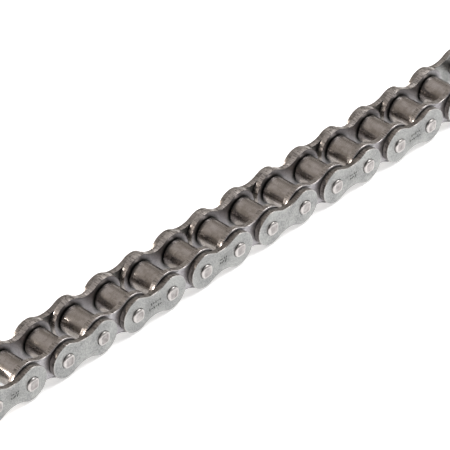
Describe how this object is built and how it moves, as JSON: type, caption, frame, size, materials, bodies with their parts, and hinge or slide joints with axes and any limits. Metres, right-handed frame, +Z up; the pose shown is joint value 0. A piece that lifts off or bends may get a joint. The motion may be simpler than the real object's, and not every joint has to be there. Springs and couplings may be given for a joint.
{
  "type": "roller chain",
  "caption": "Straight length of single-strand steel roller chain with waisted side plates, riveted pins and free-turning rollers.",
  "frame": {"origin": "bottom centre of the bounding box: the middle of the chain's length and width, on the surface that the inner plates' lower edges stand on", "axes": "+X along the chain from pin 00 to pin 15, +Y across the chain along the pins, towards the far plates, +Z up"},
  "size_m": [0.3012, 0.0252, 0.0171],
  "materials": {
    "outer_plate_steel": "satin, tumbled, light grey",
    "inner_plate_steel": "satin, tumbled, light grey with a faint violet tint",
    "pin_steel": "ground steel, staked ends",
    "roller_steel": "smooth, shiny, slightly brown from heat treatment"
  },
  "bodies": {
    "outer_link_01": {"outer_plate_near_01": "outer_plate_steel", "outer_plate_far_01": "outer_plate_steel", "pin_00": "pin_steel", "pin_01": "pin_steel"},
    "inner_link_01": {"inner_plate_near_bushed_01": "inner_plate_steel", "inner_plate_far_01": "inner_plate_steel"},
    "turning_roller_01": {"roller_01": "roller_steel"},
    "turning_roller_02": {"roller_02": "roller_steel"},
    "outer_link_02": {"outer_plate_near_02": "outer_plate_steel", "outer_plate_far_02": "outer_plate_steel", "pin_02": "pin_steel", "pin_03": "pin_steel"},
    "inner_link_02": {"inner_plate_near_bushed_02": "inner_plate_steel", "inner_plate_far_02": "inner_plate_steel"},
    "turning_roller_03": {"roller_03": "roller_steel"},
    "turning_roller_04": {"roller_04": "roller_steel"},
    "outer_link_03": {"outer_plate_near_03": "outer_plate_steel", "outer_plate_far_03": "outer_plate_steel", "pin_04": "pin_steel", "pin_05": "pin_steel"},
    "inner_link_03": {"inner_plate_near_bushed_03": "inner_plate_steel", "inner_plate_far_03": "inner_plate_steel"},
    "turning_roller_05": {"roller_05": "roller_steel"},
    "turning_roller_06": {"roller_06": "roller_steel"},
    "outer_link_04": {"outer_plate_near_04": "outer_plate_steel", "outer_plate_far_04": "outer_plate_steel", "pin_06": "pin_steel", "pin_07": "pin_steel"},
    "inner_link_04": {"inner_plate_near_bushed_04": "inner_plate_steel", "inner_plate_far_04": "inner_plate_steel"},
    "turning_roller_07": {"roller_07": "roller_steel"},
    "turning_roller_08": {"roller_08": "roller_steel"},
    "outer_link_05": {"outer_plate_near_05": "outer_plate_steel", "outer_plate_far_05": "outer_plate_steel", "pin_08": "pin_steel", "pin_09": "pin_steel"},
    "inner_link_05": {"inner_plate_near_bushed_05": "inner_plate_steel", "inner_plate_far_05": "inner_plate_steel"},
    "turning_roller_09": {"roller_09": "roller_steel"},
    "turning_roller_10": {"roller_10": "roller_steel"},
    "outer_link_06": {"outer_plate_near_06": "outer_plate_steel", "outer_plate_far_06": "outer_plate_steel", "pin_10": "pin_steel", "pin_11": "pin_steel"},
    "inner_link_06": {"inner_plate_near_bushed_06": "inner_plate_steel", "inner_plate_far_06": "inner_plate_steel"},
    "turning_roller_11": {"roller_11": "roller_steel"},
    "turning_roller_12": {"roller_12": "roller_steel"},
    "outer_link_07": {"outer_plate_near_07": "outer_plate_steel", "outer_plate_far_07": "outer_plate_steel", "pin_12": "pin_steel", "pin_13": "pin_steel"},
    "inner_link_07": {"inner_plate_near_bushed_07": "inner_plate_steel", "inner_plate_far_07": "inner_plate_steel"},
    "turning_roller_13": {"roller_13": "roller_steel"},
    "turning_roller_14": {"roller_14": "roller_steel"},
    "outer_link_08": {"outer_plate_near_08": "outer_plate_steel", "outer_plate_far_08": "outer_plate_steel", "pin_14": "pin_steel", "pin_15": "pin_steel"}
  },
  "joints": [
    {"name": "bend_at_pin_01", "type": "hinge", "parent": "inner_link_01", "child": "outer_link_01", "pos_m": [-0.12383, 0, 0.00855], "axis": [0, 1, 0], "range_deg": [-40, 40]},
    {"name": "bend_at_pin_02", "type": "hinge", "parent": "outer_link_02", "child": "inner_link_01", "pos_m": [-0.10477, 0, 0.00855], "axis": [0, 1, 0], "range_deg": [-40, 40]},
    {"name": "bend_at_pin_03", "type": "hinge", "parent": "inner_link_02", "child": "outer_link_02", "pos_m": [-0.08572, 0, 0.00855], "axis": [0, 1, 0], "range_deg": [-40, 40]},
    {"name": "bend_at_pin_04", "type": "hinge", "parent": "outer_link_03", "child": "inner_link_02", "pos_m": [-0.06667, 0, 0.00855], "axis": [0, 1, 0], "range_deg": [-40, 40]},
    {"name": "bend_at_pin_05", "type": "hinge", "parent": "inner_link_03", "child": "outer_link_03", "pos_m": [-0.04763, 0, 0.00855], "axis": [0, 1, 0], "range_deg": [-40, 40]},
    {"name": "bend_at_pin_06", "type": "hinge", "parent": "outer_link_04", "child": "inner_link_03", "pos_m": [-0.02857, 0, 0.00855], "axis": [0, 1, 0], "range_deg": [-40, 40]},
    {"name": "bend_at_pin_07", "type": "hinge", "parent": "inner_link_04", "child": "outer_link_04", "pos_m": [-0.00953, 0, 0.00855], "axis": [0, 1, 0], "range_deg": [-40, 40]},
    {"name": "bend_at_pin_08", "type": "hinge", "parent": "inner_link_04", "child": "outer_link_05", "pos_m": [0.00953, 0, 0.00855], "axis": [0, 1, 0], "range_deg": [-40, 40]},
    {"name": "bend_at_pin_09", "type": "hinge", "parent": "outer_link_05", "child": "inner_link_05", "pos_m": [0.02857, 0, 0.00855], "axis": [0, 1, 0], "range_deg": [-40, 40]},
    {"name": "bend_at_pin_10", "type": "hinge", "parent": "inner_link_05", "child": "outer_link_06", "pos_m": [0.04763, 0, 0.00855], "axis": [0, 1, 0], "range_deg": [-40, 40]},
    {"name": "bend_at_pin_11", "type": "hinge", "parent": "outer_link_06", "child": "inner_link_06", "pos_m": [0.06667, 0, 0.00855], "axis": [0, 1, 0], "range_deg": [-40, 40]},
    {"name": "bend_at_pin_12", "type": "hinge", "parent": "inner_link_06", "child": "outer_link_07", "pos_m": [0.08572, 0, 0.00855], "axis": [0, 1, 0], "range_deg": [-40, 40]},
    {"name": "bend_at_pin_13", "type": "hinge", "parent": "outer_link_07", "child": "inner_link_07", "pos_m": [0.10477, 0, 0.00855], "axis": [0, 1, 0], "range_deg": [-40, 40]},
    {"name": "bend_at_pin_14", "type": "hinge", "parent": "inner_link_07", "child": "outer_link_08", "pos_m": [0.12383, 0, 0.00855], "axis": [0, 1, 0], "range_deg": [-40, 40]},
    {"name": "roller_spin_01", "type": "hinge", "parent": "inner_link_01", "child": "turning_roller_01", "pos_m": [-0.12383, 0, 0.00855], "axis": [0, 1, 0], "continuous": true},
    {"name": "roller_spin_02", "type": "hinge", "parent": "inner_link_01", "child": "turning_roller_02", "pos_m": [-0.10477, 0, 0.00855], "axis": [0, 1, 0], "continuous": true},
    {"name": "roller_spin_03", "type": "hinge", "parent": "inner_link_02", "child": "turning_roller_03", "pos_m": [-0.08572, 0, 0.00855], "axis": [0, 1, 0], "continuous": true},
    {"name": "roller_spin_04", "type": "hinge", "parent": "inner_link_02", "child": "turning_roller_04", "pos_m": [-0.06667, 0, 0.00855], "axis": [0, 1, 0], "continuous": true},
    {"name": "roller_spin_05", "type": "hinge", "parent": "inner_link_03", "child": "turning_roller_05", "pos_m": [-0.04763, 0, 0.00855], "axis": [0, 1, 0], "continuous": true},
    {"name": "roller_spin_06", "type": "hinge", "parent": "inner_link_03", "child": "turning_roller_06", "pos_m": [-0.02857, 0, 0.00855], "axis": [0, 1, 0], "continuous": true},
    {"name": "roller_spin_07", "type": "hinge", "parent": "inner_link_04", "child": "turning_roller_07", "pos_m": [-0.00953, 0, 0.00855], "axis": [0, 1, 0], "continuous": true},
    {"name": "roller_spin_08", "type": "hinge", "parent": "inner_link_04", "child": "turning_roller_08", "pos_m": [0.00953, 0, 0.00855], "axis": [0, 1, 0], "continuous": true},
    {"name": "roller_spin_09", "type": "hinge", "parent": "inner_link_05", "child": "turning_roller_09", "pos_m": [0.02857, 0, 0.00855], "axis": [0, 1, 0], "continuous": true},
    {"name": "roller_spin_10", "type": "hinge", "parent": "inner_link_05", "child": "turning_roller_10", "pos_m": [0.04763, 0, 0.00855], "axis": [0, 1, 0], "continuous": true},
    {"name": "roller_spin_11", "type": "hinge", "parent": "inner_link_06", "child": "turning_roller_11", "pos_m": [0.06667, 0, 0.00855], "axis": [0, 1, 0], "continuous": true},
    {"name": "roller_spin_12", "type": "hinge", "parent": "inner_link_06", "child": "turning_roller_12", "pos_m": [0.08572, 0, 0.00855], "axis": [0, 1, 0], "continuous": true},
    {"name": "roller_spin_13", "type": "hinge", "parent": "inner_link_07", "child": "turning_roller_13", "pos_m": [0.10477, 0, 0.00855], "axis": [0, 1, 0], "continuous": true},
    {"name": "roller_spin_14", "type": "hinge", "parent": "inner_link_07", "child": "turning_roller_14", "pos_m": [0.12383, 0, 0.00855], "axis": [0, 1, 0], "continuous": true}
  ]
}
